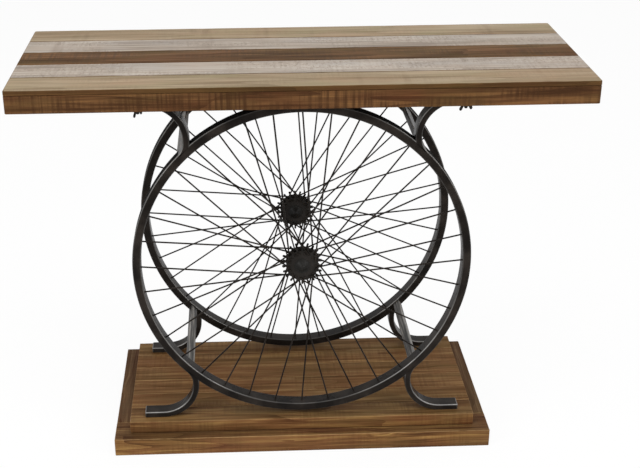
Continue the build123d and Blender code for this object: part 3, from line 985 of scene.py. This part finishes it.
for wheel, depth in WHEEL_DEPTH.items():
    for face, toward in (("front", -1), ("rear", 1)):
        shape = bmesh.new()
        place = (0, depth + toward * SPROCKET_SPACING / 2, WHEEL_HEIGHT)
        add_copy(shape, sprocket, Matrix.Translation(place))
        node = f"{wheel}_wheel_{face}_sprocket"
        keep(node + "_disc", shape, hub_steel, node)

    in_wheel = Matrix.Translation((0, depth, WHEEL_HEIGHT)) @ ON_AXLE
    half = (SPROCKET_SPACING - SPROCKET_THICKNESS) / 2
    shape = bmesh.new()
    lathe(
        shape,
        (
            (AXLE_RADIUS, -half),
            (BARREL_RADIUS, -half),
            (BARREL_RADIUS, -half + BARREL_STEP),
            (BARREL_RADIUS - BARREL_STEP, -half + 2 * BARREL_STEP),
            (BARREL_RADIUS - BARREL_STEP, half - 2 * BARREL_STEP),
            (BARREL_RADIUS, half - BARREL_STEP),
            (BARREL_RADIUS, half),
            (AXLE_RADIUS, half),
        ),
    )
    bmesh.ops.transform(shape, matrix=in_wheel, verts=shape.verts[:])
    keep(f"{wheel}_hub_barrel_turned", shape, hub_steel, f"{wheel}_hub_barrel")

    half = STACK_END + CAP_HEIGHT - AXLE_SHORTFALL
    shape = bmesh.new()
    lathe(shape, ((0, -half), (AXLE_RADIUS, -half), (AXLE_RADIUS, half), (0, half)))
    bmesh.ops.transform(shape, matrix=in_wheel, verts=shape.verts[:])
    keep(f"{wheel}_hub_axle_turned", shape, hub_steel, f"{wheel}_hub_axle")

cap = bmesh.new()
bell = [(AXLE_RADIUS, 0), (CAP_RADIUS, 0)]
for step in range(CAP_STEPS, -1, -1):
    rise = (1 + math.cos(math.pi * step / CAP_STEPS)) / 2
    bell.append((CAP_RADIUS * step / CAP_STEPS, CAP_LIP + (CAP_HEIGHT - CAP_LIP) * rise))
lathe(cap, bell)
shape = bmesh.new()
for depth in WHEEL_DEPTH.values():
    for toward in (-1, 1):
        outside = Matrix.Translation((0, depth + toward * STACK_END, WHEEL_HEIGHT))
        add_copy(shape, cap, outside @ Matrix.Rotation(-toward * math.radians(90), 4, "X"))
keep("hub_caps_pressed", shape, cap_steel, "hub_caps")


# ---- Spokes
# Steel wire, laced three-cross, 36 to a wheel. Each spoke has an elbow and a round head that
# bears on its disc. Leading spokes run outside the disc and trailing spokes inside it.
SPOKE_COUNT = 36
SPOKE_CROSSINGS = 3
SPOKE_RADIUS = 0.00145
SPOKE_HOLE_RADIUS = 0.0242
SPOKE_LIFT = 0.0012
SPOKE_IN_RIM = 0.0015
ELBOW_RADIUS = 0.0026
HEAD_RADIUS = 0.0027
SPOKE_SIDES = 10
SPOKES_PER_GROUP = SPOKE_COUNT // 4
HOLE_PITCH = 720 / SPOKE_COUNT
FIRST_HOLE = {"front": 0, "rear": HOLE_PITCH / 2}

# The steps of a head, from the wire out: how long each is, and how it widens the one before.
HEAD_STEPS = ((0.0001, HEAD_RADIUS / SPOKE_RADIUS), (0.0007, 1.0), (0.0006, 0.8), (0.0003, 0.4))


def extend(shape, ring, move, widen=1.0):
    """Draws a ring of edges on by a move, widened about its middle, and returns the new ring."""
    made = bmesh.ops.extrude_edge_only(shape, edges=ring)["geom"]
    new = [v for v in made if isinstance(v, bmesh.types.BMVert)]
    bmesh.ops.translate(shape, vec=move, verts=new)
    middle = sum((v.co for v in new), Vector()) / len(new)
    about = Matrix.Translation(-middle)
    bmesh.ops.scale(shape, vec=(widen, widen, widen), verts=new, space=about)
    return [e for e in shape.edges if e.verts[0] in new and e.verts[1] in new]


def wire(front, outside):
    """One spoke, its rim end at angle zero.

    front is 1 on the front disc and -1 on the rear, outside is 1 for a wire outside its disc and
    -1 for one inside it.
    """
    hole = math.radians(-outside * SPOKE_CROSSINGS * HOLE_PITCH)
    disc_middle = Vector((math.cos(hole), 0, math.sin(hole))) * SPOKE_HOLE_RADIUS
    disc_middle.y = -front * SPROCKET_SPACING / 2
    outward = Vector((0, -front * outside, 0))
    elbow = disc_middle + outward * (SPROCKET_THICKNESS / 2 + SPOKE_LIFT + SPOKE_RADIUS)
    rim_end = Vector((WHEEL_RADIUS - RIM_DEPTH + SPOKE_IN_RIM, 0, 0))
    run = (elbow - rim_end).normalized()
    turn = run.angle(-outward)
    setback = ELBOW_RADIUS * math.tan(turn / 2)
    side = (-outward - run * run.dot(-outward)).normalized()
    shape = bmesh.new()
    bmesh.ops.create_circle(
        shape,
        radius=SPOKE_RADIUS,
        segments=SPOKE_SIDES,
        matrix=Matrix.Translation(rim_end) @ run.to_track_quat("Z", "Y").to_matrix().to_4x4(),
    )
    bend_start = elbow - run * setback
    ring = extend(shape, shape.edges[:], bend_start - rim_end)
    made = bmesh.ops.spin(
        shape,
        geom=ring,
        cent=bend_start + side * ELBOW_RADIUS,
        axis=run.cross(-outward).normalized(),
        angle=turn,
        steps=5,
    )
    ring = [e for e in made["geom_last"] if isinstance(e, bmesh.types.BMEdge)]
    to_far_face = SPROCKET_THICKNESS + SPOKE_LIFT + SPOKE_RADIUS - setback
    ring = extend(shape, ring, -outward * to_far_face)
    for length, widen in HEAD_STEPS:
        ring = extend(shape, ring, -outward * length, widen)
    bmesh.ops.contextual_create(shape, geom=ring)
    bmesh.ops.recalc_face_normals(shape, faces=shape.faces[:])
    return shape


# Nearly black, and with so little gloss that the thin wires stay dark.
wire_steel = sprayed_steel(
    "black_spoke_wire",
    ("#1C1916", "#24201D", "#2F2A26"),
    roughness=0.3,
    dents=0.0,
    gloss=0.03,
    rubbed_and_lit=0.0,
)
for face, front in (("front", 1), ("rear", -1)):
    for run_name, outside in (("leading", 1), ("trailing", -1)):
        pattern = wire(front, outside)
        start = FIRST_HOLE[face] + (0 if run_name == "leading" else HOLE_PITCH)
        for wheel, depth in WHEEL_DEPTH.items():
            in_wheel = Matrix.Translation((0, depth, WHEEL_HEIGHT))
            shape = bmesh.new()
            for index in range(SPOKES_PER_GROUP):
                angle = math.radians(start + index * 360 / SPOKES_PER_GROUP)
                add_copy(shape, pattern, in_wheel @ Matrix.Rotation(-angle, 4, "Y"))
            node = f"{wheel}_wheel_{face}_{run_name}_spokes"
            keep(node + "_wires", shape, wire_steel, node)


# ---- Fixings
# Black M6 hardware. Bolts come up through the base into the lower feet. The upper feet hang on
# studs in the cleats, each with a washer and a cast wing nut whose wings hang down.
FIXING_X = 0.282
FIXINGS = [(right * FIXING_X, depth) for right in (-1, 1) for depth in WHEEL_DEPTH.values()]
UNDERSIDE = 0.692
STUD_RADIUS = 0.003
STUD_IN_TOP = 0.022
STUD_PROUD = 0.003
THREAD_PITCH = 0.001
THREAD_DEPTH = 0.0006
THREAD_COUNT = 14
WASHER_HOLE = 0.00315
WASHER_RADIUS = 0.007
WASHER_THICKNESS = 0.0016
WASHER_TOP = UNDERSIDE - LEG_THICKNESS
NUT_TOP = WASHER_TOP - WASHER_THICKNESS
NUT_HEIGHT = 0.009
WING_THICKNESS = 0.0024
WING_EDGE = 0.0009
WING_SCALE = (0.9, 0.82)


def at_fixings(name, pattern, node):
    """Puts one of these at each of the four fixings."""
    shape = bmesh.new()
    for x, y in FIXINGS:
        add_copy(shape, pattern, Matrix.Translation((x, y, 0)))
    keep(name, shape, hub_steel, node)


BOLT_SEAT, BOLT_TOP = 0.010, 0.068
bolt = bmesh.new()
bolt_head = [(0, 0.006), (0.0045, 0.006), (0.0058, 0.0068), (0.006, 0.0078), (0.006, BOLT_SEAT)]
lathe(bolt, bolt_head + [(STUD_RADIUS, BOLT_SEAT), (STUD_RADIUS, BOLT_TOP), (0, BOLT_TOP)], 24)
at_fixings("foot_bolts_turned", bolt, "foot_bolts")

stud = bmesh.new()
stud_end = NUT_TOP - NUT_HEIGHT - STUD_PROUD
threads = [(0, stud_end), (STUD_RADIUS - 0.0008, stud_end)]
for index in range(THREAD_COUNT):
    root = stud_end + 0.0004 + index * THREAD_PITCH
    threads += [(STUD_RADIUS - THREAD_DEPTH, root), (STUD_RADIUS, root + THREAD_PITCH / 2)]
stud_top = UNDERSIDE + STUD_IN_TOP
lathe(stud, threads + [(STUD_RADIUS, stud_top), (0, stud_top)], 20)
at_fixings("top_studs_threaded", stud, "top_studs")

washer = bmesh.new()
lathe(
    washer,
    (
        (WASHER_HOLE, NUT_TOP),
        (WASHER_RADIUS - 0.0003, NUT_TOP),
        (WASHER_RADIUS, NUT_TOP + 0.0003),
        (WASHER_RADIUS, WASHER_TOP),
        (WASHER_HOLE, WASHER_TOP),
        (WASHER_HOLE, NUT_TOP),
    ),
    32,
)
at_fixings("top_washers_pressed", washer, "top_washers")

NUT_TURNS = {(-1, "front"): 60, (1, "front"): 20, (-1, "rear"): 110, (1, "rear"): 75}
wing = bmesh.new()
first = wing.verts.new((0.0025, 0, -0.0005))
last = line(wing, first, (0.0062, -0.0022), (0.0092, -0.0070), (0.0125, -0.0130))
last = line(wing, last, (0.0130, -0.0155), (0.0124, -0.0178), (0.0108, -0.0190))
last = line(wing, last, (0.0089, -0.0186), (0.0074, -0.0165), (0.0056, -0.0115))
last = line(wing, last, (0.0030, -0.0088))
wing.edges.new((last, first))
plate(wing, WING_THICKNESS)
ease(wing, WING_EDGE, 3, 60)
nut_body = bmesh.new()
lathe(
    nut_body,
    (
        (STUD_RADIUS, 0),
        (0.0058, 0),
        (0.0060, -0.0006),
        (0.0056, -0.0062),
        (0.0048, -0.0083),
        (0.0040, -NUT_HEIGHT),
        (STUD_RADIUS, -NUT_HEIGHT),
        (STUD_RADIUS, 0),
    ),
    28,
)
shape = bmesh.new()
for (right, wheel), turn in NUT_TURNS.items():
    place = Matrix.Translation((right * FIXING_X, WHEEL_DEPTH[wheel], NUT_TOP))
    place = place @ Matrix.Rotation(math.radians(turn), 4, "Z")
    for hand in (-1, 1):
        add_copy(shape, wing, place @ Matrix.Diagonal((hand, *WING_SCALE, 1)))
    add_copy(shape, nut_body, place)
bmesh.ops.recalc_face_normals(shape, faces=shape.faces[:])
keep("wing_nuts_cast", shape, hub_steel, "wing_nuts")
